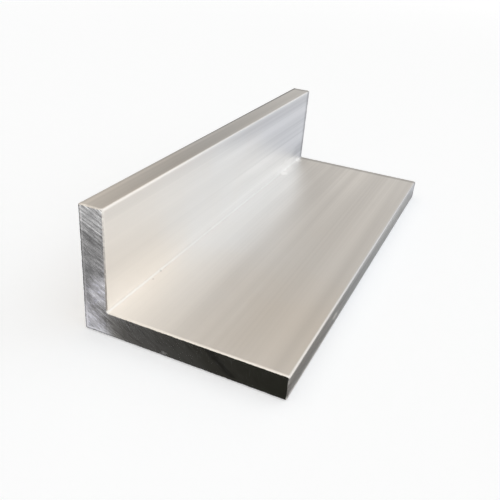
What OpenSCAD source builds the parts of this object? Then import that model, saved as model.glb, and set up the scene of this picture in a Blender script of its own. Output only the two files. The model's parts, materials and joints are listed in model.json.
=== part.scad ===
// Aluminium angle: an unequal-leg L-section, extruded in one piece and sawn to length.
// The foot leg lies on the ground and the upright leg stands along one long side of it.
// +X runs across the foot from heel to toe, +Y along the bar, +Z up.
// The origin is on the ground, under the middle of the bar.

/* [Section] */
// Width of the foot leg, from the heel to its toe
foot_width = 80; // [40:1:150]
// Height of the upright leg, from the ground to its toe
upright_height = 50; // [35:1:150]
// Thickness of the foot leg
foot_thickness = 10; // [5:0.5:20]
// Thickness of the upright leg
upright_thickness = 10; // [5:0.5:20]

/* [Edges] */
// Radius of the root, the inside corner between the legs
root_radius = 1; // [0.5:0.1:6]
// Radius of the four long edges at the toes of the legs
toe_radius = 0.8; // [0.4:0.1:2]
// Radius of the heel, the outside corner between the legs
heel_radius = 0.5; // [0.4:0.1:4]

/* [Saw cuts] */
// Length of the bar, from one saw cut to the other
bar_length = 200; // [50:1:1000]
// Width of the bevel filed round each saw cut to take off the burr
end_break = 0.3; // [0.1:0.05:0.4]

/* [Hidden] */
// Facets of a full circle
$fn = 96;
// How far a cutting shape reaches past the face that it cuts
cut_margin = 1;
// Mill-finish aluminium
mill_aluminium = [0.82, 0.80, 0.77];

// Outline of a leg seen square to the bar, with its corners bevelled at both saw cuts
module bevelled_outline(across) {
    polygon([
        [end_break, 0],
        [across - end_break, 0],
        [across, end_break],
        [across, bar_length - end_break],
        [across - end_break, bar_length],
        [end_break, bar_length],
        [0, bar_length - end_break],
        [0, end_break]
    ]);
}

// Flat bar of one leg, from the heel, with the burr taken off round both of its saw cuts
module leg(width, height) {
    intersection() {
        linear_extrude(height)
            bevelled_outline(width);
        translate([width, 0, 0])
            rotate([0, -90, 0])
                linear_extrude(width)
                    bevelled_outline(height);
    }
}

// Round core along a long edge, which widens by flare at both saw cuts, or narrows where it is negative
module edge_core(radius, flare) {
    rotate([-90, 0, 0])
        rotate_extrude()
            polygon([
                [0, 0],
                [radius + flare, 0],
                [radius, end_break],
                [radius, bar_length - end_break],
                [radius + flare, bar_length],
                [0, bar_length]
            ]);
}

// Metal that fills the root between the two legs, down to the bevels of their saw cuts
module root_fillet() {
    side = root_radius + end_break;
    difference() {
        translate([upright_thickness - end_break, 0, foot_thickness - end_break])
            cube([side, bar_length, side]);
        translate([upright_thickness + root_radius, 0, foot_thickness + root_radius])
            edge_core(root_radius, end_break);
    }
}

// Waste outside the rounding of the long edge at x, z
// inward_x and inward_z are 1 or -1, the way from the edge into the metal
module edge_waste(x, z, inward_x, inward_z, radius) {
    side = radius + cut_margin;
    centre_x = x + inward_x * radius;
    centre_z = z + inward_z * radius;
    difference() {
        translate([
            centre_x - (inward_x > 0 ? side : 0),
            -cut_margin,
            centre_z - (inward_z > 0 ? side : 0)
        ])
            cube([side, bar_length + 2 * cut_margin, side]);
        translate([centre_x, 0, centre_z])
            edge_core(radius, -end_break);
    }
}

// The whole bar in one piece, centred over the origin
module angle_bar() {
    color(mill_aluminium)
        translate([-foot_width / 2, -bar_length / 2, 0])
            difference() {
                union() {
                    leg(foot_width, foot_thickness);
                    leg(upright_thickness, upright_height);
                    root_fillet();
                }
                edge_waste(0, 0, 1, 1, heel_radius);
                edge_waste(0, upright_height, 1, -1, toe_radius);
                edge_waste(upright_thickness, upright_height, -1, -1, toe_radius);
                edge_waste(foot_width, foot_thickness, -1, -1, toe_radius);
                edge_waste(foot_width, 0, -1, 1, toe_radius);
            }
}

angle_bar();
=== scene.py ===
"""Looks of an aluminium angle bar: mill-finish skin, sawn ends and a plain pale studio."""
import json
import math

import bpy
import numpy as np
from mathutils import Matrix, Vector


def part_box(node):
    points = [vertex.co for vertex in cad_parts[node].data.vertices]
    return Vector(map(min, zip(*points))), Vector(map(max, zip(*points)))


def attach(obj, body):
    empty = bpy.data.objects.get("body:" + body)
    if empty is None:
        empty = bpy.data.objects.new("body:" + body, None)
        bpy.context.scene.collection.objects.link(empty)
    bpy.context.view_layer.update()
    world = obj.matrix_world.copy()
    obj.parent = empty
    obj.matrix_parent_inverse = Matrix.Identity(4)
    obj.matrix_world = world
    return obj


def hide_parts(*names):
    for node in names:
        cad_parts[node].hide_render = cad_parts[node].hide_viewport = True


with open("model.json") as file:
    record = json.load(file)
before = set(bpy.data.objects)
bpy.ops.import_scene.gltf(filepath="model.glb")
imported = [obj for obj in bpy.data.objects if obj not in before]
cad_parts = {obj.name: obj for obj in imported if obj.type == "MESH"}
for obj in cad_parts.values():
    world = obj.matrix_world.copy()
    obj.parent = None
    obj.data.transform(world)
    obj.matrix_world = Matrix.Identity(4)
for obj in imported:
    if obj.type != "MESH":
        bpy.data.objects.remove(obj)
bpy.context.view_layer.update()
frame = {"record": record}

MM = 0.001
FULL_TURN = 2 * math.pi

# Section of the bar, from the frame
mounts = {mount["name"]: mount["pos_m"] for mount in frame["record"]["mounts"]}
(HEEL_X, NEAR_Y, GROUND_Z), (TOE_X, FAR_Y, TOP_Z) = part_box("angle_bar")
INSIDE_X = mounts["upright_inside"][0]
FOOT_TOP_Z = mounts["foot_top"][2]
WALL = FOOT_TOP_Z - GROUND_Z
LENGTH = FAR_Y - NEAR_Y

# Roundings of the section, as on the solid
ROOT_RADIUS = 1.0 * MM
TOE_RADIUS = 0.8 * MM
HEEL_RADIUS = 0.5 * MM

# Bevel of the saw cuts: its most across the cut, how many times further it runs along the bar,
# and the share of it and the spacings by which its width wanders
CUT_INSET = 0.45 * MM
BEVEL_SLANT = 1.5
BURR_SHARE = 0.4
BURR_SPACINGS = (7.3 * MM, 2.3 * MM, 1.1 * MM)

# Saw marks: arcs of a disc blade about the place of its spindle
BLADE_X = HEEL_X - 84 * MM
BLADE_Z = GROUND_Z - 158 * MM
SAW_DEPTH = 0.09 * MM
SAW_SPACINGS = (5.1 * MM, 2.7 * MM, 1.45 * MM, 0.83 * MM)

# Corners of the near cut that a file has rounded off: place of the corner and reach along each leg
UPRIGHT_FILED = (INSIDE_X, TOP_Z, 3.9 * MM, 2.1 * MM)
TOE_FILED = (TOE_X, FOOT_TOP_Z, 1.4 * MM, 1.6 * MM)

# Die lines: shallow grooves that the extrusion die leaves along the bar
DIE_LINE_COUNT = 90
DIE_LINE_WIDTHS = (0.25 * MM, 1.6 * MM)
DIE_LINE_DEPTHS = (0.0024 * MM, 0.012 * MM)
DIE_LINE_TURNS = (0.3, 1.5)
DIE_LINE_SWELL = 0.4

# Fineness of the mesh
GRID_STEP = 0.34 * MM
ROUND_STEPS = 4
CORNER_STEPS = 8
UPRIGHT_STEPS = int((TOP_Z - FOOT_TOP_Z) / GRID_STEP)
FOOT_STEPS = int((TOE_X - INSIDE_X) / GRID_STEP)
ACROSS_STEPS = int(WALL / GRID_STEP)
RING_COUNT = 56
FIRST_RING = 1.8 * MM
SHARP_ANGLE = math.radians(28)
RANDOM_SEED = 20


# Shape of the bar


def ripple(positions, spacings, random):
    """Mean of cosines of the given spacings, with random phases, moved to run from 0 to 1."""
    phases = random.uniform(0, FULL_TURN, len(spacings))
    turns = FULL_TURN * positions[..., None] / np.array(spacings) + phases
    return 0.5 + 0.5 * np.cos(turns).mean(axis=-1)


def toe_steps(radius):
    """Distances from a toe's face whose lines cut a corner of that radius into equal angles."""
    angles = np.linspace(math.pi / 4, 0, ROUND_STEPS, endpoint=False)
    return radius * (1 - np.tan(angles))


def leg_run(toe, corner, radius, count):
    """Places down a leg from its toe to the corner: close steps over the toe's rounding, then even ones."""
    return np.concatenate([toe - toe_steps(radius), np.linspace(toe - radius, corner, count)])


def side_run(inset, side_x, side_z, centre_x, centre_z, radius):
    """One side of the section, from the toe of the upright round its corner to the toe of the foot.

    The upright's stretch runs down at side_x, a quarter circle about the centre follows,
    and the foot's stretch runs out at side_z."""
    toe_radius = TOE_RADIUS - inset
    down = leg_run(TOP_Z - inset, centre_z, toe_radius, UPRIGHT_STEPS)
    out = leg_run(TOE_X - inset, centre_x, toe_radius, FOOT_STEPS)[::-1]
    angles = np.linspace(0, math.pi / 2, CORNER_STEPS + 1)[1:-1]
    arc_x = centre_x + np.sign(side_x - centre_x) * radius * np.cos(angles)
    arc_z = centre_z + np.sign(side_z - centre_z) * radius * np.sin(angles)
    x = np.concatenate([np.full(len(down), side_x), arc_x, out])
    z = np.concatenate([down, arc_z, np.full(len(out), side_z)])
    return np.stack([x, z], axis=-1)


def section_grid(inset):
    """Grid of points over the L-section, drawn in by inset all round.

    The first parameter runs along the L from toe to toe, the second straight across its wall
    from the outer side to the inner one. The corners of the toes are then drawn onto quarter circles:
    an offset from the circle's centre is scaled by its larger part over its length."""
    outer = side_run(
        inset,
        HEEL_X + inset,
        GROUND_Z + inset,
        HEEL_X + HEEL_RADIUS,
        GROUND_Z + HEEL_RADIUS,
        HEEL_RADIUS - inset,
    )
    inner = side_run(
        inset,
        INSIDE_X - inset,
        FOOT_TOP_Z - inset,
        INSIDE_X + ROOT_RADIUS,
        FOOT_TOP_Z + ROOT_RADIUS,
        ROOT_RADIUS + inset,
    )
    wall = WALL - 2 * inset
    toe_radius = TOE_RADIUS - inset
    close = toe_steps(toe_radius)
    middle = np.linspace(toe_radius, wall - toe_radius, ACROSS_STEPS)
    across = np.concatenate([close, middle, wall - close[::-1]])[:, None] / wall
    grid = outer[:, None] * (1 - across) + inner[:, None] * across
    toe_corners = (
        (HEEL_X + TOE_RADIUS, TOP_Z - TOE_RADIUS, -1, 1),
        (INSIDE_X - TOE_RADIUS, TOP_Z - TOE_RADIUS, 1, 1),
        (TOE_X - TOE_RADIUS, FOOT_TOP_Z - TOE_RADIUS, 1, 1),
        (TOE_X - TOE_RADIUS, GROUND_Z + TOE_RADIUS, 1, -1),
    )
    for centre_x, centre_z, sign_x, sign_z in toe_corners:
        offset = grid - (centre_x, centre_z)
        outward = offset * (sign_x, sign_z)
        inside = (outward > 0).all(axis=-1, keepdims=True)
        larger = outward.max(axis=-1, keepdims=True)
        length = np.linalg.norm(offset, axis=-1, keepdims=True)
        scale = np.divide(larger, length, out=np.ones_like(length), where=inside & (length > 0))
        grid = (centre_x, centre_z) + offset * scale
    return grid


def rim_index(rows, columns):
    """Row and column numbers of a grid's rim, once round: down the outer side and back by the inner one."""
    row = np.concatenate([
        np.arange(rows - 1),
        np.full(columns - 1, rows - 1),
        np.arange(rows - 1, 0, -1),
        np.zeros(columns - 1, int),
    ])
    column = np.concatenate([
        np.zeros(rows - 1, int),
        np.arange(columns - 1),
        np.full(rows - 1, columns - 1),
        np.arange(columns - 1, 0, -1),
    ])
    return row, column


def saw_marks(points, random):
    """Depth of the saw marks at points of the section: a ripple over the distance from the spindle."""
    distance = np.linalg.norm(points - (BLADE_X, BLADE_Z), axis=-1)
    return SAW_DEPTH * ripple(distance, SAW_SPACINGS, random)


def filed_corners(points):
    """Depth filed off the corners of the near cut: how far a point lies outside an ellipse in the corner."""
    depth = np.zeros(points.shape[:-1])
    for corner_x, corner_z, reach_x, reach_z in (UPRIGHT_FILED, TOE_FILED):
        from_corner = (np.array([corner_x, corner_z]) - points) / (reach_x, reach_z)
        beyond = np.linalg.norm(np.clip(1 - from_corner, 0, None), axis=-1) - 1
        near = (from_corner >= 0).all(axis=-1)
        depth += min(reach_x, reach_z) * np.where(near, beyond.clip(0, None), 0)
    return depth


def die_lines(along, rim_length, stations, random):
    """Depth of the die lines: bell-shaped grooves round the section that swell and fade along the bar."""
    places = random.uniform(0, rim_length, DIE_LINE_COUNT)
    widths = random.uniform(*DIE_LINE_WIDTHS, DIE_LINE_COUNT)
    depths = random.uniform(*DIE_LINE_DEPTHS, DIE_LINE_COUNT)
    phases = random.uniform(0, FULL_TURN, DIE_LINE_COUNT)
    turns = random.uniform(*DIE_LINE_TURNS, DIE_LINE_COUNT)
    aside = along[:, None] - places
    bells = depths * np.exp(-((aside / widths) ** 2))
    share = (stations[:, None] - NEAR_Y) / LENGTH
    swell = 1 - DIE_LINE_SWELL + DIE_LINE_SWELL * np.cos(phases + FULL_TURN * turns * share)
    return swell @ bells.T


def cells(grid):
    """Corner numbers of each four-sided cell in a grid of point numbers."""
    corners = [grid[:-1, :-1], grid[1:, :-1], grid[1:, 1:], grid[:-1, 1:]]
    return np.stack(corners, axis=-1).reshape(-1, 4)


def angle_bar_mesh():
    """The bar as one closed surface: the section's rim carried along the bar, and a grid over each saw cut.

    Die lines sink the rim along its inward normals. At each end the rim is drawn in by the bevel,
    whose width wanders with the burr, and the grid that closes it sinks by the saw marks."""
    random = np.random.default_rng(RANDOM_SEED)
    whole = section_grid(0.0)
    drawn_in = section_grid(CUT_INSET)
    rows, columns = whole.shape[:2]
    rim_at = rim_index(rows, columns)
    rim = whole[rim_at]
    inward = (drawn_in[rim_at] - rim) / CUT_INSET
    steps = np.linalg.norm(np.roll(rim, -1, axis=0) - rim, axis=-1)
    along = np.cumsum(steps) - steps

    plain_stations = np.linspace(NEAR_Y + FIRST_RING, FAR_Y - FIRST_RING, RING_COUNT)
    stations = np.concatenate([[NEAR_Y, NEAR_Y], plain_stations, [FAR_Y, FAR_Y]])
    depth = die_lines(along, steps.sum(), stations, random)
    ring_y = np.repeat(stations[:, None], len(rim), axis=1)
    number = np.arange(ring_y.size).reshape(ring_y.shape)
    skin_faces = cells(np.concatenate([number, number[:, :1]], axis=1))
    faces = [skin_faces]
    cut_points = []
    free = np.arange((rows - 2) * (columns - 2)).reshape(rows - 2, columns - 2) + number.size
    for cut_ring, bevel_ring, into, filed in ((0, 1, 1, filed_corners(drawn_in)), (-1, -2, -1, 0.0)):
        bevel = CUT_INSET * (1 - BURR_SHARE * ripple(along, BURR_SPACINGS, random))
        cut = saw_marks(drawn_in, random) + filed
        ring_y[cut_ring] += into * cut[rim_at]
        ring_y[bevel_ring] += into * (cut[rim_at] + BEVEL_SLANT * bevel)
        depth[cut_ring] += bevel
        cut_y = stations[cut_ring] + into * cut
        surface = np.stack([drawn_in[..., 0], cut_y, drawn_in[..., 1]], axis=-1)
        cut_points.append(surface[1:-1, 1:-1].reshape(-1, 3))
        grid = np.empty((rows, columns), int)
        grid[rim_at] = number[cut_ring]
        grid[1:-1, 1:-1] = free
        free = free + free.size
        faces.append(cells(grid)[:, ::into])

    ring = rim + inward * depth[..., None]
    ring_points = np.stack([ring[..., 0], ring_y, ring[..., 1]], axis=-1).reshape(-1, 3)
    mesh = bpy.data.meshes.new("angle_bar_surface")
    mesh.from_pydata(np.concatenate([ring_points, *cut_points]), [], np.concatenate(faces))
    sawn = np.arange(len(mesh.polygons)) >= len(skin_faces)
    mesh.polygons.foreach_set("material_index", sawn.astype(np.int32))
    mesh.shade_smooth()
    mesh.set_sharp_from_angle(angle=SHARP_ANGLE)
    return mesh


# Shader nodes

# Colour sockets of the Mix node, which come after its number and vector sockets
MIX_FIRST = 6
MIX_SECOND = 7
MIX_RESULT = 2

# Shares of a spot's radii at which it starts to fade and is gone
SPOT_CORE = 0.5
SPOT_EDGE = 1.2

WHITE = (1, 1, 1, 1)


def add_node(tree, kind, inputs=None, **settings):
    """Adds a node, sets its properties, and fills its inputs with values or links."""
    node = tree.nodes.new(kind)
    for name, value in settings.items():
        setattr(node, name, value)
    for name, value in (inputs or {}).items():
        if isinstance(value, bpy.types.NodeSocket):
            tree.links.new(value, node.inputs[name])
        else:
            node.inputs[name].default_value = value
    return node


def calculate(tree, operation, *values):
    """Output of a Math node over the given values or sockets."""
    return add_node(tree, "ShaderNodeMath", dict(enumerate(values)), operation=operation).outputs[0]


def product(tree, *factors):
    """Product of several values."""
    result = factors[0]
    for factor in factors[1:]:
        result = calculate(tree, "MULTIPLY", result, factor)
    return result


def total(tree, *terms):
    """Sum of several values."""
    result = terms[0]
    for term in terms[1:]:
        result = calculate(tree, "ADD", result, term)
    return result


def vector_math(tree, operation, *values):
    """Node that works on vectors, with its outputs Vector and Value."""
    return add_node(tree, "ShaderNodeVectorMath", dict(enumerate(values)), operation=operation).outputs


def scale_colour(tree, colour, tone):
    """Colour multiplied by a tone."""
    node = add_node(tree, "ShaderNodeVectorMath", {0: colour, "Scale": tone}, operation="SCALE")
    return node.outputs["Vector"]


def object_place(tree):
    """Object coordinates of the surface."""
    return add_node(tree, "ShaderNodeTexCoord").outputs["Object"]


def axes(tree, vector):
    """X, Y and Z of a vector."""
    parts = add_node(tree, "ShaderNodeSeparateXYZ", {0: vector}).outputs
    return parts["X"], parts["Y"], parts["Z"]


def noise(tree, vector, scales, detail=2.0):
    """Value of a noise over coordinates multiplied along each axis by the scales."""
    stretched = vector_math(tree, "MULTIPLY", vector, scales)["Vector"]
    inputs = {"Vector": stretched, "Scale": 1.0, "Detail": detail}
    return add_node(tree, "ShaderNodeTexNoise", inputs).outputs[0]


def ease(tree, value, start, stop, first=0.0, last=1.0):
    """Smooth step from the first value at start to the last one at stop."""
    inputs = {"Value": value, "From Min": start, "From Max": stop, "To Min": first, "To Max": last}
    return add_node(tree, "ShaderNodeMapRange", inputs, interpolation_type="SMOOTHSTEP").outputs[0]


def ease_line(tree, value, start, stop):
    """Straight rise from 0 at start to 1 at stop."""
    inputs = {"Value": value, "From Min": start, "From Max": stop}
    return add_node(tree, "ShaderNodeMapRange", inputs).outputs[0]


def swing(tree, value, amount, middle=0.0):
    """Value from 0 to 1 turned into a swing of that amount about the middle."""
    return calculate(tree, "MULTIPLY_ADD", value, amount, middle - amount / 2)


def shift_tone(tree, mask, change):
    """Factor that is 1 where the mask is 0, and 1 plus the change where it is 1."""
    return calculate(tree, "MULTIPLY_ADD", mask, change, 1.0)


def gap(tree, value, place):
    """Distance of a value from a place."""
    return calculate(tree, "ABSOLUTE", calculate(tree, "SUBTRACT", value, place))


def line_mask(tree, value, place, half_width):
    """1 on a line at the place, fading to 0 at its half width."""
    return ease(tree, gap(tree, value, place), half_width, 0.0)


def edge_mask(tree, x, z, edge, inner, outer):
    """1 within the inner distance of a long edge of the section, fading to 0 at the outer one."""
    edge_x, edge_z = edge
    away = calculate(tree, "MAXIMUM", gap(tree, x, edge_x), gap(tree, z, edge_z))
    return ease(tree, away, inner, outer, 1.0, 0.0)


def outer_distance(tree, x, z):
    """Distance from the nearer one of the bar's two outer sides."""
    return calculate(tree, "MINIMUM", gap(tree, x, HEEL_X), gap(tree, z, GROUND_Z))


def spot(tree, place, centre, radii):
    """Soft spot: 1 inside an ellipsoid, fading to 0 just outside it."""
    offset = vector_math(tree, "SUBTRACT", place, centre)["Vector"]
    scaled = vector_math(tree, "DIVIDE", offset, radii)["Vector"]
    away = vector_math(tree, "LENGTH", scaled)["Value"]
    return ease(tree, away, SPOT_CORE, SPOT_EDGE, 1.0, 0.0)


def colour_ramp(tree, value, stops):
    """Colours eased between the given stops of position and colour."""
    node = add_node(tree, "ShaderNodeValToRGB", {"Fac": value})
    node.color_ramp.interpolation = "EASE"
    elements = node.color_ramp.elements
    while len(elements) < len(stops):
        elements.new(1.0)
    for element, (position, colour) in zip(elements, stops):
        element.position = position
        element.color = (*colour, 1)
    return node.outputs[0]


def blend_colours(tree, share, first, second):
    """Mixes two colours by a share."""
    inputs = {0: share, MIX_FIRST: first, MIX_SECOND: second}
    return add_node(tree, "ShaderNodeMix", inputs, data_type="RGBA").outputs[MIX_RESULT]


def bump(tree, height, strength, distance):
    """Normal of a bump with that height."""
    inputs = {"Height": height, "Strength": strength, "Distance": distance}
    return add_node(tree, "ShaderNodeBump", inputs).outputs[0]


def new_group(name, inputs, outputs):
    """Shader node group with named sockets: returns the tree, its input node and its output node."""
    tree = bpy.data.node_groups.new(name, "ShaderNodeTree")
    for label, kind in inputs:
        tree.interface.new_socket(label, in_out="INPUT", socket_type=kind)
    for label, kind in outputs:
        tree.interface.new_socket(label, in_out="OUTPUT", socket_type=kind)
    return tree, tree.nodes.new("NodeGroupInput"), tree.nodes.new("NodeGroupOutput")


def use_group(tree, group, inputs):
    """Places a node group, fills its inputs and returns its outputs."""
    return add_node(tree, "ShaderNodeGroup", inputs, node_tree=group).outputs


# Effects that both finishes share

# Scratches: turns of their two directions, scales of their noise, and where its crests start and are full
SCRATCH_TURNS = ((0.35, 0.2, 0.5), (-0.6, 0.3, -0.35))
SCRATCH_SCALES = (900, 26, 900)
SCRATCH_CRESTS = (0.69, 0.76)


def scratch_group():
    """Hairline handling scratches: thin crests of noise, drawn out along two slanted directions."""
    tree, given, result = new_group(
        "handling_scratches",
        [("Vector", "NodeSocketVector"), ("Amount", "NodeSocketFloat")],
        [("Mask", "NodeSocketFloat")],
    )
    masks = []
    for turn in SCRATCH_TURNS:
        turned = add_node(tree, "ShaderNodeMapping", {"Vector": given.outputs["Vector"], "Rotation": turn})
        crest = noise(tree, turned.outputs[0], SCRATCH_SCALES, detail=1.0)
        masks.append(ease(tree, crest, *SCRATCH_CRESTS))
    strength = product(tree, calculate(tree, "MAXIMUM", *masks), given.outputs["Amount"])
    tree.links.new(strength, result.inputs["Mask"])
    return tree


def clouding_group():
    """Soft clouding of the metal's tone: plain noise at a scale per metre."""
    tree, given, result = new_group(
        "soft_clouding",
        [("Vector", "NodeSocketVector"), ("Scale", "NodeSocketFloat")],
        [("Cloud", "NodeSocketFloat")],
    )
    cloud = noise(tree, given.outputs["Vector"], given.outputs["Scale"])
    tree.links.new(cloud, result.inputs["Cloud"])
    return tree


def new_metal(name):
    """Material with a bare metal shader: returns it with its tree, shader and object coordinates."""
    material = bpy.data.materials.new(name)
    material.use_nodes = True
    tree = material.node_tree
    shader = tree.nodes["Principled BSDF"]
    shader.inputs["Metallic"].default_value = 1.0
    return material, tree, shader, object_place(tree)


def finish_metal(tree, shader, colour, roughness, normal):
    """Feeds a metal shader what changes over its surface."""
    tree.links.new(colour, shader.inputs["Base Color"])
    tree.links.new(roughness, shader.inputs["Roughness"])
    tree.links.new(normal, shader.inputs["Normal"])


# Mill skin

# Colours, warm at the near end and cool from COOL_FROM on, and the highest tone, which keeps them below 1
WARM_METAL = (0.835, 0.80, 0.755, 1)
COOL_METAL = (0.84, 0.838, 0.832, 1)
COOL_FROM = 10 * MM
SKIN_BRIGHTEST = 1.18
SKIN_CLOUDING = 24.0
SKIN_SCRATCHES = 0.35

# Streaks: scales of their noises per metre along X, Y and Z, changes of tone, and where the ribbons lie
STREAK_OFFSET = (0.917, -1.501, -0.552)
BROAD_SCALES = (150, 1.6, 150)
FINE_SCALES = (900, 4, 900)
RIBBON_SCALES = (1, 1.5, 330)
BROAD_CHANGE = 0.22
FINE_CHANGE = 0.19
RIBBON_CHANGE = 0.36
NEAR_STREAK_SHARE = 0.35
RIBBONS_ALONG = (-30 * MM, 80 * MM)
RIBBONS_UP = (FOOT_TOP_Z + 1 * MM, FOOT_TOP_Z + 3 * MM)

# Streaks that stand out: middle, half width, where each one starts and is full along the bar, and change
FOOT_STREAKS = (
    (-11 * MM, 5 * MM, 20 * MM, -20 * MM, -0.05),
    (-3 * MM, 9 * MM, 0.0, -60 * MM, -0.05),
    # This wide one is no streak but a painted highlight that makes the far part of the foot paler
    (5 * MM, 30 * MM, 40 * MM, 85 * MM, 0.06),
    (-19 * MM, 6 * MM, 20 * MM, 60 * MM, 0.045),
    (10 * MM, 4 * MM, -20 * MM, 80 * MM, 0.06),
    (35 * MM, 4 * MM, 110 * MM, 20 * MM, -0.075),
)
UPRIGHT_STREAKS = (
    (40.2 * MM, 2.8 * MM, -40 * MM, 30 * MM, 0.09),
    (24.8 * MM, 3.5 * MM, -20 * MM, 40 * MM, 0.07),
    (15.5 * MM, 3 * MM, 55 * MM, 88 * MM, -0.12),
    (35 * MM, 3 * MM, 0.0, 50 * MM, -0.03),
    (46.8 * MM, 1.6 * MM, -20 * MM, 10 * MM, -0.06),
)
FOOT_FACE = (FOOT_TOP_Z + 1 * MM, FOOT_TOP_Z + 0.2 * MM)
OFF_FOOT = 2 * TOE_X

# Toe face: where it starts, its grain, painted shade at its foot, and the centre and radii of a nick
TOE_FACE = (TOE_X - 0.3 * MM, TOE_X - 0.05 * MM)
TOE_GRAIN_SCALES = (1, 12, 1100)
TOE_GRAIN_CHANGE = 0.9
TOE_FOOT_SHADE = (1.5 * MM, 0.7 * MM)
TOE_FOOT_SHADE_CHANGE = -0.28
TOE_NICK = ((TOE_X, -50.3 * MM, 4.5 * MM), (1 * MM, 3 * MM, 0.8 * MM))

# Long edges of the section
ROOT = (INSIDE_X, FOOT_TOP_Z)
BACK_EDGE = (HEEL_X, TOP_Z)
INNER_EDGE = (INSIDE_X, TOP_Z)
TOE_EDGE = (TOE_X, FOOT_TOP_Z)
ROUNDING = (0.5 * MM, 0.9 * MM)

# Tones along the edges: edge, reach from full to none, and a span along the bar with the change at its ends.
# They are a painted highlight along the root, a wider painted glow about it, a painted highlight on the
# upright's inner edge that turns to painted shade further on, a painted tip at the near cut, and painted
# shade on the toe's edge.
EDGE_HIGHLIGHTS_AND_SHADE = (
    (ROOT, (0.0, 4.5 * MM), (-95 * MM, -30 * MM, 0.055, 0.02)),
    (ROOT, (0.0, 18 * MM), (NEAR_Y, -30 * MM, 0.13, 0.0455)),
    (INNER_EDGE, ROUNDING, (NEAR_Y, 30 * MM, 0.12, -0.18)),
    (INNER_EDGE, ROUNDING, (NEAR_Y + 4 * MM, NEAR_Y + 1 * MM, 0.0, 0.2)),
    (TOE_EDGE, ROUNDING, (NEAR_Y, 0.0, -0.02, -0.17)),
)

# Top face of the upright: a back edge that widens and darkens from the near end to the far one,
# clear of the heel's side, and a pale line beside it
TOP_FACE = (TOP_Z - 1 * MM, TOP_Z - 0.5 * MM)
BACK_EDGE_CORE = (0.3 * MM, 1.1 * MM)
BACK_EDGE_REACH = (0.8 * MM, 2.0 * MM)
BACK_EDGE_CHANGE = (-0.45, -0.62)
BACK_EDGE_START = (0.05 * MM, 0.3 * MM)
PALE_LINE_X = HEEL_X + 2.2 * MM
PALE_LINE_WIDTH = 1.3 * MM
PALE_LINE_ALONG = (50 * MM, -20 * MM)
PALE_LINE_CHANGE = 0.15

# Inner face of the upright, a little paler by a painted highlight, with a band of painted shade below its top
INNER_FACE = (1.2 * MM, 0.2 * MM)
INNER_FACE_UP = (FOOT_TOP_Z, FOOT_TOP_Z + 2 * MM)
INNER_FACE_HIGHLIGHT = 0.1
SHADE_BAND_FROM = (43.5 * MM, 46.5 * MM)
SHADE_BAND_TO = (49.4 * MM, 48.6 * MM)
SHADE_BAND_CHANGE = -0.09

# Bevels: painted shade along the outer sides of the near cut, a painted highlight along the inner ones, and
# painted shade over the far end
NEAR_BEVEL = (NEAR_Y + 1.1 * MM, NEAR_Y + 0.7 * MM)
OUTER_BEVEL = (0.5 * MM, 0.3 * MM)
OUTER_BEVEL_SHADE = -0.58
INNER_BEVEL_X = (INSIDE_X - 0.8 * MM, INSIDE_X - 0.4 * MM)
INNER_BEVEL_Z = (FOOT_TOP_Z - 0.8 * MM, FOOT_TOP_Z - 0.4 * MM)
INNER_BEVEL_HIGHLIGHT = 0.25
FAR_END = (FAR_Y - 4.5 * MM, FAR_Y - 2.2 * MM)
FAR_END_START = (0.2 * MM, 0.6 * MM)
FAR_END_SHADE = -0.32

# Spots: centre, radii and change of tone.
# They are two specks beside the root, and at the root's far end painted shade in a dip, a painted glow and
# three painted glints.
SPECKS_AND_GLINTS = (
    ((-29.3 * MM, -64.6 * MM, 10.2 * MM), (0.6 * MM, 0.7 * MM, 0.6 * MM), -0.2),
    ((-28.6 * MM, -71.5 * MM, 10.1 * MM), (0.5 * MM, 0.6 * MM, 0.5 * MM), -0.2),
    ((INSIDE_X, 96 * MM, 16 * MM), (2 * MM, 14 * MM, 6 * MM), -0.15),
    ((INSIDE_X, 74 * MM, FOOT_TOP_Z), (5 * MM, 8 * MM, 7 * MM), 0.07),
    ((INSIDE_X, 72 * MM, 12.5 * MM), (1.5 * MM, 2.6 * MM, 3.6 * MM), 0.14),
    ((-28.2 * MM, 66.8 * MM, FOOT_TOP_Z), (2.2 * MM, 2.8 * MM, 1.5 * MM), 0.14),
    ((-29.2 * MM, 92.5 * MM, 10.6 * MM), (2.4 * MM, 2.6 * MM, 2 * MM), 0.3),
)

# Roughness, what adds to it, and the bump of the fine streaks
SKIN_ROUGHNESS = 0.33
FINE_HAZE = 0.12
SCRATCH_HAZE = 0.1
TOE_NICK_HAZE = 0.5
ROOT_LINE = (0.25 * MM, 1.1 * MM)
ROOT_HAZE = (-80 * MM, -25 * MM, 0.0, 0.15)
SKIN_BUMP = 0.1
SKIN_RELIEF = 0.02 * MM


def streak_tones(tree, place, fine, y, z):
    """Tone of the streaks: broad and fine noise drawn out along the bar, stronger towards the far end,
    and ribbons over the far part of the upright."""
    shifted = vector_math(tree, "ADD", place, STREAK_OFFSET)["Vector"]
    broad = noise(tree, shifted, BROAD_SCALES, detail=1.0)
    ribbons = noise(tree, shifted, RIBBON_SCALES, detail=1.0)
    streaks = total(tree, swing(tree, broad, BROAD_CHANGE), swing(tree, fine, FINE_CHANGE))
    streak_share = ease(tree, y, NEAR_Y, FAR_Y, NEAR_STREAK_SHARE, 1.0)
    ribbon_share = product(tree, ease(tree, y, *RIBBONS_ALONG), ease(tree, z, *RIBBONS_UP))
    return product(
        tree,
        shift_tone(tree, streaks, streak_share),
        shift_tone(tree, swing(tree, ribbons, RIBBON_CHANGE), ribbon_share),
    )


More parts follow.
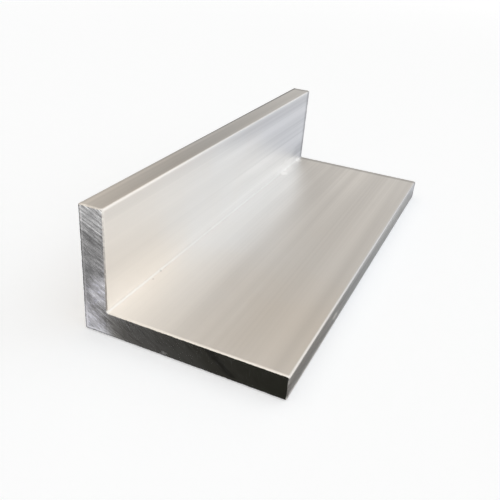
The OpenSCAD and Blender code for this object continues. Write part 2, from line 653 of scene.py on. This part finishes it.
def wide_streak_tones(tree, x, y, z):
    """Tone of the few wide streaks that stand out, and of one painted highlight, each a soft line along the
    bar that comes and goes with Y.

    Those of the foot read X on its top face, and a place beyond it elsewhere."""
    across_foot = ease(tree, ease(tree, z, *FOOT_FACE), 0.0, 1.0, OFF_FOOT, x)
    tones = []
    for value, streaks in ((across_foot, FOOT_STREAKS), (z, UPRIGHT_STREAKS)):
        for middle, half_width, start, full, change in streaks:
            mask = product(tree, line_mask(tree, value, middle, half_width), ease(tree, y, start, full))
            tones.append(shift_tone(tree, mask, change))
    return product(tree, *tones)


def toe_tones(tree, place, x, z):
    """Tone of the toe's face: a coarse lengthwise grain, with painted shade at its foot."""
    on_toe = ease(tree, x, *TOE_FACE)
    grain = noise(tree, place, TOE_GRAIN_SCALES)
    shaded_foot = product(tree, on_toe, ease(tree, z, *TOE_FOOT_SHADE))
    return product(
        tree,
        shift_tone(tree, on_toe, swing(tree, grain, TOE_GRAIN_CHANGE)),
        shift_tone(tree, shaded_foot, TOE_FOOT_SHADE_CHANGE),
    )


def edge_tones(tree, x, y, z):
    """Painted highlights and shade along the long edges: each edge's mask times a change that eases along the
    bar.
    """
    tones = []
    for edge, reach, change in EDGE_HIGHLIGHTS_AND_SHADE:
        mask = edge_mask(tree, x, z, edge, *reach)
        tones.append(shift_tone(tree, mask, ease(tree, y, *change)))
    return product(tree, *tones)


def upright_tones(tree, x, y, z):
    """Tone of the upright's top face, with its back edge and pale line, and of its inner face, with a painted
    highlight and a band of painted shade.
    """
    on_top = ease(tree, z, *TOP_FACE)
    core = ease(tree, y, NEAR_Y, FAR_Y, *BACK_EDGE_CORE)
    reach = ease(tree, y, NEAR_Y, FAR_Y, *BACK_EDGE_REACH)
    back_edge = product(
        tree,
        on_top,
        ease(tree, gap(tree, x, HEEL_X), *BACK_EDGE_START),
        edge_mask(tree, x, z, BACK_EDGE, core, reach),
    )
    pale_line = product(
        tree,
        on_top,
        line_mask(tree, x, PALE_LINE_X, PALE_LINE_WIDTH),
        ease(tree, y, *PALE_LINE_ALONG),
    )
    lit_inner_face = product(
        tree,
        ease(tree, gap(tree, x, INSIDE_X), *INNER_FACE),
        ease(tree, z, *INNER_FACE_UP),
    )
    band = product(tree, ease(tree, z, *SHADE_BAND_FROM), ease(tree, z, *SHADE_BAND_TO))
    return product(
        tree,
        shift_tone(tree, back_edge, ease(tree, y, NEAR_Y, FAR_Y, *BACK_EDGE_CHANGE)),
        shift_tone(tree, pale_line, PALE_LINE_CHANGE),
        shift_tone(tree, lit_inner_face, INNER_FACE_HIGHLIGHT),
        shift_tone(tree, band, SHADE_BAND_CHANGE),
    )


def end_tones(tree, x, y, z):
    """Painted shade and highlight at the ends of the skin: bevels of the near cut, and the last millimetres
    before the far one.
    """
    at_cut = ease(tree, y, *NEAR_BEVEL)
    shaded_outer_bevel = product(tree, at_cut, ease(tree, outer_distance(tree, x, z), *OUTER_BEVEL))
    lit_inner_bevel = product(tree, at_cut, ease(tree, x, *INNER_BEVEL_X), ease(tree, z, *INNER_BEVEL_Z))
    shaded_far_end = product(tree, ease(tree, y, *FAR_END), ease(tree, gap(tree, x, HEEL_X), *FAR_END_START))
    return product(
        tree,
        shift_tone(tree, shaded_outer_bevel, OUTER_BEVEL_SHADE),
        shift_tone(tree, lit_inner_bevel, INNER_BEVEL_HIGHLIGHT),
        shift_tone(tree, shaded_far_end, FAR_END_SHADE),
    )


def spot_tones(tree, place):
    """Tone of the small spots on the skin: two specks, and painted shade, glow and glints."""
    tones = []
    for centre, radii, change in SPECKS_AND_GLINTS:
        tones.append(shift_tone(tree, spot(tree, place, centre, radii), change))
    return product(tree, *tones)


def mill_skin(scratches, clouding):
    """Extruded skin: pale metal, warm and cool in turn, whose tone is the product of the tones above."""
    material, tree, shader, place = new_metal("mill_skin")
    x, y, z = axes(tree, place)
    fine = noise(tree, place, FINE_SCALES)
    cloud = use_group(tree, clouding, {"Vector": place, "Scale": SKIN_CLOUDING})["Cloud"]
    hairs = use_group(tree, scratches, {"Vector": place, "Amount": SKIN_SCRATCHES})["Mask"]

    drift = total(tree, ease(tree, y, NEAR_Y, COOL_FROM), swing(tree, cloud, 1.0))
    base = blend_colours(tree, ease(tree, drift, 0.0, 1.0), WARM_METAL, COOL_METAL)
    tone = product(
        tree,
        streak_tones(tree, place, fine, y, z),
        wide_streak_tones(tree, x, y, z),
        toe_tones(tree, place, x, z),
        edge_tones(tree, x, y, z),
        upright_tones(tree, x, y, z),
        end_tones(tree, x, y, z),
        spot_tones(tree, place),
    )
    colour = scale_colour(tree, base, calculate(tree, "MINIMUM", tone, SKIN_BRIGHTEST))
    roughness = total(
        tree,
        SKIN_ROUGHNESS,
        product(tree, fine, FINE_HAZE),
        product(tree, hairs, SCRATCH_HAZE),
        product(tree, edge_mask(tree, x, z, ROOT, *ROOT_LINE), ease(tree, y, *ROOT_HAZE)),
        product(tree, spot(tree, place, *TOE_NICK), TOE_NICK_HAZE),
    )
    height = calculate(tree, "SUBTRACT", fine, hairs)
    finish_metal(tree, shader, colour, roughness, bump(tree, height, SKIN_BUMP, SKIN_RELIEF))
    return material


# Sawn end

# Noises: radius that turns the blade's angle into a length, and scales per metre outwards, round and along
BLADE_RADIUS = 200 * MM
SAW_BAND_SCALES = (260, 60, 30)
STROKE_SCALES = (1050, 260, 30)
GRIT_SCALES = (2400, 900, 30)
CUT_CLOUDING = 260.0
CUT_SCRATCHES = 0.5

# Changes of tone, and how much bolder they are on the upright than from the middle of the foot on
SAW_BAND_CHANGE = 0.7
STROKE_CHANGE = 1.3
GRIT_CHANGE = 0.7
CUT_CLOUD_CHANGE = 0.6
CUT_SCRATCH_CHANGE = 0.3
BOLDNESS = (INSIDE_X, 0.0, 1.0, 0.4)
CUT_BRIGHTEST = 1.28

# Colours: plain metal, and pale strokes with a lilac cast low on the cut
CUT_METAL = (0.77, 0.765, 0.765, 1)
LILAC_METAL = (0.86, 0.86, 0.93, 1)
LILAC_STROKES = (0.5, 0.62)
LILAC_UP = (26 * MM, 16 * MM)

# One deep stroke, at a distance from the spindle, painted as a band of shade, and a painted highlight on the
# edge of it
DEEP_STROKE = 214.8 * MM
DEEP_STROKE_WIDTH = 2.4 * MM
DEEP_STROKE_SHADE = -0.4
BRIGHT_STROKE = DEEP_STROKE - 2.25 * MM
BRIGHT_STROKE_WIDTH = 0.55 * MM
BRIGHT_STROKE_HIGHLIGHT = 0.65

# Outer sides of the cut: a rim of painted shade, and inside it a painted highlight on the burr that comes and
# goes with the clouding
CUT_RIM = (0.8 * MM, 0.5 * MM)
CUT_RIM_SHADE = -0.6
BURR_DISTANCE = 1.15 * MM
BURR_WIDTH = 0.5 * MM
BURR_CLOUD = (0.2, 0.5)
BURR_HIGHLIGHT = 1.0

# Filed corner of the near cut: painted shade on its flat and a painted highlight on the arc that bounds it,
# in lengths of the file's ellipse
NEAR_HALF = (10 * MM, -10 * MM)
FILED_FLAT = (1.03, 1.2)
FILED_FLAT_SHADE = -0.15
FILED_ARC_WIDTH = 0.1
FILED_ARC_HIGHLIGHT = 0.3

# Roughness, smoother towards the foot, a nick in the near cut, and the bump of the strokes
CUT_ROUGHNESS = 0.17
STROKE_HAZE = 0.15
SMOOTHNESS = (INSIDE_X, 0.0, 1.0, 0.62)
CUT_NICK = ((-6.3 * MM, NEAR_Y, 1.5 * MM), (1.5 * MM, 1 * MM, 0.8 * MM))
CUT_NICK_STROKES = (0.4, 0.55)
CUT_NICK_HAZE = 0.4
CUT_BUMP = 0.25
CUT_RELIEF = 0.1 * MM


def blade_place(tree, x, y, z):
    """Place on the blade's arcs: distance from its spindle, length round it, and Y.

    The distance comes from the squares of X and Z from the spindle, and the length from their angle."""
    across = calculate(tree, "SUBTRACT", x, BLADE_X)
    upward = calculate(tree, "SUBTRACT", z, BLADE_Z)
    square = calculate(tree, "MULTIPLY_ADD", across, across, product(tree, upward, upward))
    distance = calculate(tree, "SQRT", square)
    arc = product(tree, calculate(tree, "ARCTAN2", upward, across), BLADE_RADIUS)
    polar = add_node(tree, "ShaderNodeCombineXYZ", {0: distance, 1: arc, 2: y}).outputs[0]
    return distance, polar


def outside_ellipse(tree, x, z, corner):
    """Length from the centre of the ellipse that the file leaves in a corner: 1 on it, and more outside."""
    corner_x, corner_z, reach_x, reach_z = corner
    across = ease_line(tree, x, corner_x - reach_x, corner_x)
    upward = ease_line(tree, z, corner_z - reach_z, corner_z)
    both = add_node(tree, "ShaderNodeCombineXYZ", {0: across, 1: upward}).outputs[0]
    return vector_math(tree, "LENGTH", both)["Value"]


def sawn_end(scratches, clouding):
    """Saw cut: plain metal with arced saw marks, one deep stroke, pale strokes low down and a burr, with
    painted shade and highlights on the stroke, the rim, the burr and the filed corner.
    """
    material, tree, shader, place = new_metal("sawn_end")
    x, y, z = axes(tree, place)
    distance, polar = blade_place(tree, x, y, z)
    bands = noise(tree, polar, SAW_BAND_SCALES, detail=1.0)
    strokes = noise(tree, polar, STROKE_SCALES)
    grit = noise(tree, polar, GRIT_SCALES)
    cloud = use_group(tree, clouding, {"Vector": place, "Scale": CUT_CLOUDING})["Cloud"]
    hairs = use_group(tree, scratches, {"Vector": place, "Amount": CUT_SCRATCHES})["Mask"]
    boldness = ease(tree, x, *BOLDNESS)

    lilac = product(tree, ease(tree, strokes, *LILAC_STROKES), ease(tree, z, *LILAC_UP))
    base = blend_colours(tree, lilac, CUT_METAL, LILAC_METAL)
    marks = product(
        tree,
        swing(tree, bands, SAW_BAND_CHANGE, 1.0),
        swing(tree, strokes, STROKE_CHANGE, 1.0),
        swing(tree, grit, GRIT_CHANGE, 1.0),
        swing(tree, cloud, CUT_CLOUD_CHANGE, 1.0),
    )
    outer = outer_distance(tree, x, z)
    burr = product(tree, line_mask(tree, outer, BURR_DISTANCE, BURR_WIDTH), ease(tree, cloud, *BURR_CLOUD))
    near = ease(tree, y, *NEAR_HALF)
    filed = outside_ellipse(tree, x, z, UPRIGHT_FILED)
    filed_flat = product(tree, near, ease(tree, filed, *FILED_FLAT))
    filed_arc = product(tree, near, line_mask(tree, filed, 1.0, FILED_ARC_WIDTH))
    # Painted shade on the deep stroke, the rim and the filed flat, and painted highlights on the stroke's
    # edge, the burr and the filed arc
    tone = product(
        tree,
        shift_tone(tree, calculate(tree, "SUBTRACT", marks, 1.0), boldness),
        shift_tone(tree, line_mask(tree, distance, DEEP_STROKE, DEEP_STROKE_WIDTH), DEEP_STROKE_SHADE),
        shift_tone(tree, line_mask(tree, distance, BRIGHT_STROKE, BRIGHT_STROKE_WIDTH), BRIGHT_STROKE_HIGHLIGHT),
        shift_tone(tree, ease(tree, outer, *CUT_RIM), CUT_RIM_SHADE),
        shift_tone(tree, burr, BURR_HIGHLIGHT),
        shift_tone(tree, filed_flat, FILED_FLAT_SHADE),
        shift_tone(tree, filed_arc, FILED_ARC_HIGHLIGHT),
        shift_tone(tree, product(tree, hairs, boldness), CUT_SCRATCH_CHANGE),
    )
    colour = scale_colour(tree, base, calculate(tree, "MINIMUM", tone, CUT_BRIGHTEST))
    nick = product(tree, spot(tree, place, *CUT_NICK), ease(tree, strokes, *CUT_NICK_STROKES))
    stroke_roughness = total(tree, CUT_ROUGHNESS, product(tree, strokes, STROKE_HAZE))
    roughness = total(
        tree,
        product(tree, stroke_roughness, ease(tree, x, *SMOOTHNESS)),
        product(tree, nick, CUT_NICK_HAZE),
    )
    height = total(tree, strokes, bands)
    normal = bump(tree, height, product(tree, boldness, CUT_BUMP), CUT_RELIEF)
    finish_metal(tree, shader, colour, roughness, normal)
    return material


# Dressed bar

scratches = scratch_group()
clouding = clouding_group()
bar = bpy.data.objects.new("angle_bar_dressed", angle_bar_mesh())
bpy.context.scene.collection.objects.link(bar)
bar.data.materials.append(mill_skin(scratches, clouding))
bar.data.materials.append(sawn_end(scratches, clouding))
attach(bar, "root")
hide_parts("angle_bar")


# Studio

# Floor: it glows only for the camera and in mirror images, a little under the bar and white far out
FLOOR_REACH = 6.0
FLOOR_COLOUR = (0.91, 0.93, 0.955, 1)
FLOOR_ROUGHNESS = 0.9
FLOOR_GLOW = 0.22
FLOOR_GLOW_FROM = 0.4

# Panels: glowing sheets, no lamps, that lie just above the floor and show only mirrored in the bar, as
# painted reflections
PANEL_GAP = 0.2 * MM
BACK_PANEL_REACH = 120 * MM
BACK_PANEL_LENGTH = 400 * MM
BACK_PANEL_COLOUR = (0.565, 0.58, 0.625, 1)
SIDE_PANEL_GAP = 0.78 * MM
SIDE_PANEL_WIDTH = 9 * MM
SIDE_PANEL_LEVELS = (0.055, 0.24)

# Front panel: its reach past the heel, its length before the upright, and before and past the foot
FRONT_PANEL_REACH = 110 * MM
FRONT_PANEL_LENGTH = 130 * MM
FOOT_PANEL_LENGTH = 30 * MM

# Tones before the upright, as shares of a length away from the cut
UPRIGHT_TONES_LENGTH = 100 * MM
UPRIGHT_TONES = (
    (0.0, (0.57, 0.57, 0.60)),
    (0.07, (0.61, 0.605, 0.64)),
    (0.15, (0.22, 0.215, 0.215)),
    (0.23, (0.27, 0.265, 0.27)),
    (0.34, (0.235, 0.235, 0.235)),
    (0.56, (0.235, 0.232, 0.232)),
    (0.68, (0.315, 0.315, 0.319)),
    (0.85, (0.65, 0.65, 0.65)),
)
SHEEN_COLOUR = (0.92, 0.915, 0.97, 1)
SHEEN_ACROSS = (-36.5 * MM, -32.5 * MM)
SHEEN_AHEAD = 24 * MM
SHEEN_WIDTH = 11 * MM

# Tones before the foot, as shares of its width, and where they start, give way and end
FOOT_TONES = (
    (0.10, (0.25, 0.245, 0.235)),
    (0.17, (0.165, 0.16, 0.15)),
    (0.24, (0.083, 0.080, 0.075)),
    (0.35, (0.066, 0.064, 0.060)),
    (0.55, (0.045, 0.044, 0.040)),
    (0.7, (0.027, 0.026, 0.022)),
    (1.0, (0.018, 0.018, 0.014)),
)
FOOT_ACROSS = (-33.5 * MM, -25.5 * MM)
OPEN_ACROSS = (5 * MM, -15 * MM)
OPEN_AHEAD = (14 * MM, 20 * MM)
FOOT_END = (20 * MM, 29 * MM)
FOOT_END_COLOUR = (0.95, 0.95, 0.95, 1)

# Slant of those tones away from the cut, and a bulge of it
PANEL_SLANT = 0.76
BULGE = 6 * MM
BULGE_PEAK = 12 * MM
BULGE_END = 30 * MM

# Lamp: a wide square overhead
LAMP_HEIGHT = 3.0
LAMP_SIZE = 6.0
LAMP_POWER = 64.0
LAMP_COLOUR = (0.93, 0.97, 1.0)

# Walls, by the parts X and Z of a direction: spans over which one wall turns into the next,
# and spans up a wall with its levels at their ends
LEFT_TO_FAR_LEFT = (-0.44, -0.60)
LEFT_TO_BACK = (-0.46, -0.24)
BACK_TO_RIGHT = (-0.10, 0.18)
RIGHT_TO_FAR_RIGHT = (0.62, 0.80)
LEFT_UP = (0.20, 0.04, 0.15, 0.4)
BACK_LOW = (0.18, 0.34, 0.48, 1.0)
BACK_HIGH = (0.32, 0.56, 0.80, 0.42)
RIGHT_UP = (0.35, 0.55, 0.98, 0.88)
FAR_LEFT_LEVEL = 0.52
FAR_RIGHT_LEVEL = 0.72
HORIZON_TO_WALLS = (0.04, 0.14)
WALLS_TO_ZENITH = (0.62, 0.76)
HORIZON_LEVEL = 1.0
ZENITH_LEVEL = 0.4

# Soft window in the right wall, and the warm light of the left one
WINDOW_DIRECTION = (0.60, 0.48, 0.64)
WINDOW = (0.94, 0.99, 0.0, 0.4)
WARM_LIGHT = (1, 0.865, 0.71, 1)
WARM_ACROSS = (0.25, -0.10)
WARM_UP = (0.27, 0.47)

# Camera, solved from the straight edges of the bar in a 500 by 500 frame
IMAGE_SIZE = 500
AZIMUTH = math.radians(23.67)
ELEVATION = math.radians(29.97)
ROLL = math.radians(4.31)
FOCAL_PIXELS = 615.9
PRINCIPAL_PIXEL = (232.5, 271.8)
CAMERA_FROM_HEEL = Vector((122.4, -148.1, 134.9)) * MM
SENSOR_WIDTH = 36.0
CLIP_START = 10 * MM


def rectangle(left, right, near, far):
    """Corners of a rectangle on the ground, once round."""
    return [(left, near), (right, near), (right, far), (left, far)]


def flat_sheet(name, outline, height, material):
    """Level sheet with that outline, as an object of one face."""
    mesh = bpy.data.meshes.new(name)
    corners = [(x, y, height) for x, y in outline]
    mesh.from_pydata(corners, [], [tuple(range(len(corners)))])
    mesh.materials.append(material)
    sheet = bpy.data.objects.new(name, mesh)
    bpy.context.scene.collection.objects.link(sheet)
    return sheet


def pale_floor():
    """Wide level sheet under the bar, white to the camera and in mirror images."""
    material = bpy.data.materials.new("pale_floor")
    material.use_nodes = True
    tree = material.node_tree
    shader = tree.nodes["Principled BSDF"]
    shader.inputs["Base Color"].default_value = FLOOR_COLOUR
    shader.inputs["Roughness"].default_value = FLOOR_ROUGHNESS
    shader.inputs["Specular IOR Level"].default_value = 0.0
    shader.inputs["Emission Color"].default_value = WHITE
    distance = vector_math(tree, "LENGTH", object_place(tree))["Value"]
    path = add_node(tree, "ShaderNodeLightPath").outputs
    mirrored = calculate(tree, "MAXIMUM", path["Is Glossy Ray"], path["Is Transmission Ray"])
    seen = calculate(tree, "MAXIMUM", path["Is Camera Ray"], mirrored)
    glow = ease(tree, distance, FLOOR_GLOW_FROM, FLOOR_REACH, FLOOR_GLOW, 1.0)
    tree.links.new(product(tree, seen, glow), shader.inputs["Emission Strength"])
    outline = rectangle(-FLOOR_REACH, FLOOR_REACH, -FLOOR_REACH, FLOOR_REACH)
    floor = flat_sheet("floor", outline, GROUND_Z, material)


def mirrored_panel(name, outline):
    """Glowing panel just above the floor, hidden from all but mirror images: returns its tree and glow."""
    material = bpy.data.materials.new(name)
    material.use_nodes = True
    tree = material.node_tree
    tree.nodes.clear()
    glow = add_node(tree, "ShaderNodeEmission")
    add_node(tree, "ShaderNodeOutputMaterial", {"Surface": glow.outputs[0]})
    panel = flat_sheet(name, outline, GROUND_Z + PANEL_GAP, material)
    panel.visible_camera = False
    panel.visible_diffuse = False
    panel.visible_shadow = False
    return tree, glow


def back_panel():
    """Grey panel behind the far end, mirrored in the upright's inner face."""
    outline = rectangle(
        INSIDE_X,
        TOE_X + BACK_PANEL_REACH,
        FAR_Y + PANEL_GAP,
        FAR_Y + BACK_PANEL_LENGTH,
    )
    _, glow = mirrored_panel("back_panel", outline)
    glow.inputs["Color"].default_value = BACK_PANEL_COLOUR


def side_panel():
    """Dark panel beside the toe, paler towards the far end, mirrored in the toe's face."""
    left = TOE_X + SIDE_PANEL_GAP
    outline = rectangle(left, left + SIDE_PANEL_WIDTH, NEAR_Y, FAR_Y + SIDE_PANEL_WIDTH)
    tree, glow = mirrored_panel("side_panel", outline)
    _, y, _ = axes(tree, object_place(tree))
    tree.links.new(ease(tree, y, NEAR_Y, FAR_Y, *SIDE_PANEL_LEVELS), glow.inputs["Color"])


def front_panel_colour(tree):
    """Colour of the front panel: greys in steps before the upright, and dark before the foot.

    Ahead is the distance from the cut, and across is X with the slant and its bulge added."""
    x, y, _ = axes(tree, object_place(tree))
    ahead = calculate(tree, "SUBTRACT", NEAR_Y, y)
    bulge = product(
        tree,
        ease_line(tree, ahead, 0.0, BULGE_PEAK),
        ease_line(tree, ahead, BULGE_END, BULGE_PEAK),
    )
    across = total(tree, product(tree, ahead, PANEL_SLANT), x, product(tree, bulge, BULGE))

    upright = colour_ramp(tree, ease_line(tree, ahead, 0.0, UPRIGHT_TONES_LENGTH), UPRIGHT_TONES)
    sheen = product(
        tree,
        ease(tree, across, *SHEEN_ACROSS),
        line_mask(tree, ahead, SHEEN_AHEAD, SHEEN_WIDTH),
    )
    upright = blend_colours(tree, sheen, upright, SHEEN_COLOUR)
    foot = colour_ramp(tree, ease_line(tree, across, HEEL_X, TOE_X), FOOT_TONES)
    foot = blend_colours(tree, ease(tree, ahead, *FOOT_END), foot, FOOT_END_COLOUR)
    opening = product(tree, ease(tree, ahead, *OPEN_AHEAD), ease(tree, across, *OPEN_ACROSS))
    closed = calculate(tree, "SUBTRACT", 1.0, opening)
    foot_share = product(tree, ease(tree, across, *FOOT_ACROSS), closed)
    return blend_colours(tree, foot_share, upright, foot)


def front_panel():
    """L-shaped panel mirrored in the near cut, long before the upright and short before the foot."""
    left = HEEL_X - FRONT_PANEL_REACH
    right = TOE_X + FOOT_PANEL_LENGTH
    near = NEAR_Y - PANEL_GAP
    foot_end = NEAR_Y - FOOT_PANEL_LENGTH
    upright_end = NEAR_Y - FRONT_PANEL_LENGTH
    outline = [
        (left, upright_end),
        (INSIDE_X, upright_end),
        (INSIDE_X, foot_end),
        (right, foot_end),
        (right, near),
        (left, near),
    ]
    tree, glow = mirrored_panel("front_panel", outline)
    tree.links.new(front_panel_colour(tree), glow.inputs["Color"])


def overhead_softbox():
    """Wide square lamp that faces straight down."""
    data = bpy.data.lights.new("overhead_softbox", "AREA")
    data.shape = "SQUARE"
    data.size = LAMP_SIZE
    data.energy = LAMP_POWER
    data.color = LAMP_COLOUR
    lamp = bpy.data.objects.new("overhead_softbox", data)
    lamp.location = (0, 0, LAMP_HEIGHT)
    bpy.context.scene.collection.objects.link(lamp)


def studio_walls():
    """Soft surroundings: white at the horizon, dim and warm on the heel's side, bright on the toe's side,
    and even overhead."""
    world = bpy.data.worlds.new("studio_walls")
    world.use_nodes = True
    tree = world.node_tree
    direction = add_node(tree, "ShaderNodeTexCoord").outputs["Generated"]
    x, _, z = axes(tree, direction)
    left = ease(tree, x, *LEFT_TO_FAR_LEFT, ease(tree, z, *LEFT_UP), FAR_LEFT_LEVEL)
    back = product(tree, ease(tree, z, *BACK_HIGH), ease(tree, z, *BACK_LOW))
    right = ease(tree, x, *RIGHT_TO_FAR_RIGHT, ease(tree, z, *RIGHT_UP), FAR_RIGHT_LEVEL)
    left_and_back = ease(tree, x, *LEFT_TO_BACK, left, back)
    level = ease(tree, x, *BACK_TO_RIGHT, left_and_back, right)
    toward = vector_math(tree, "DOT_PRODUCT", direction, WINDOW_DIRECTION)["Value"]
    walls = total(tree, level, ease(tree, toward, *WINDOW))
    above = ease(tree, z, *WALLS_TO_ZENITH, walls, ZENITH_LEVEL)
    strength = ease(tree, z, *HORIZON_TO_WALLS, HORIZON_LEVEL, above)
    warmth = product(tree, ease(tree, x, *WARM_ACROSS), ease(tree, z, *WARM_UP))
    background = tree.nodes["Background"]
    tree.links.new(blend_colours(tree, warmth, WHITE, WARM_LIGHT), background.inputs["Color"])
    tree.links.new(strength, background.inputs["Strength"])
    bpy.context.scene.world = world


def photo_camera():
    """Camera turned by azimuth, elevation and roll, with its lens and shift from the image's pixels."""
    back = Vector((
        math.sin(AZIMUTH) * math.cos(ELEVATION),
        -math.cos(AZIMUTH) * math.cos(ELEVATION),
        math.sin(ELEVATION),
    ))
    level = Vector((math.cos(AZIMUTH), math.sin(AZIMUTH), 0))
    upward = back.cross(level)
    right = level * math.cos(ROLL) + upward * math.sin(ROLL)
    up = upward * math.cos(ROLL) - level * math.sin(ROLL)
    principal_x, principal_y = PRINCIPAL_PIXEL
    data = bpy.data.cameras.new("photo_camera")
    data.sensor_width = SENSOR_WIDTH
    data.lens = FOCAL_PIXELS / IMAGE_SIZE * SENSOR_WIDTH
    data.shift_x = 0.5 - principal_x / IMAGE_SIZE
    data.shift_y = principal_y / IMAGE_SIZE - 0.5
    data.clip_start = CLIP_START
    camera = bpy.data.objects.new("photo_camera", data)
    turn = Matrix((right, up, back)).transposed().to_4x4()
    place = Vector((HEEL_X, NEAR_Y, GROUND_Z)) + CAMERA_FROM_HEEL
    camera.matrix_world = Matrix.Translation(place) @ turn
    bpy.context.scene.collection.objects.link(camera)
    bpy.context.scene.camera = camera


pale_floor()
back_panel()
front_panel()
side_panel()
overhead_softbox()
studio_walls()
photo_camera()
bpy.context.scene.view_settings.view_transform = "Standard"
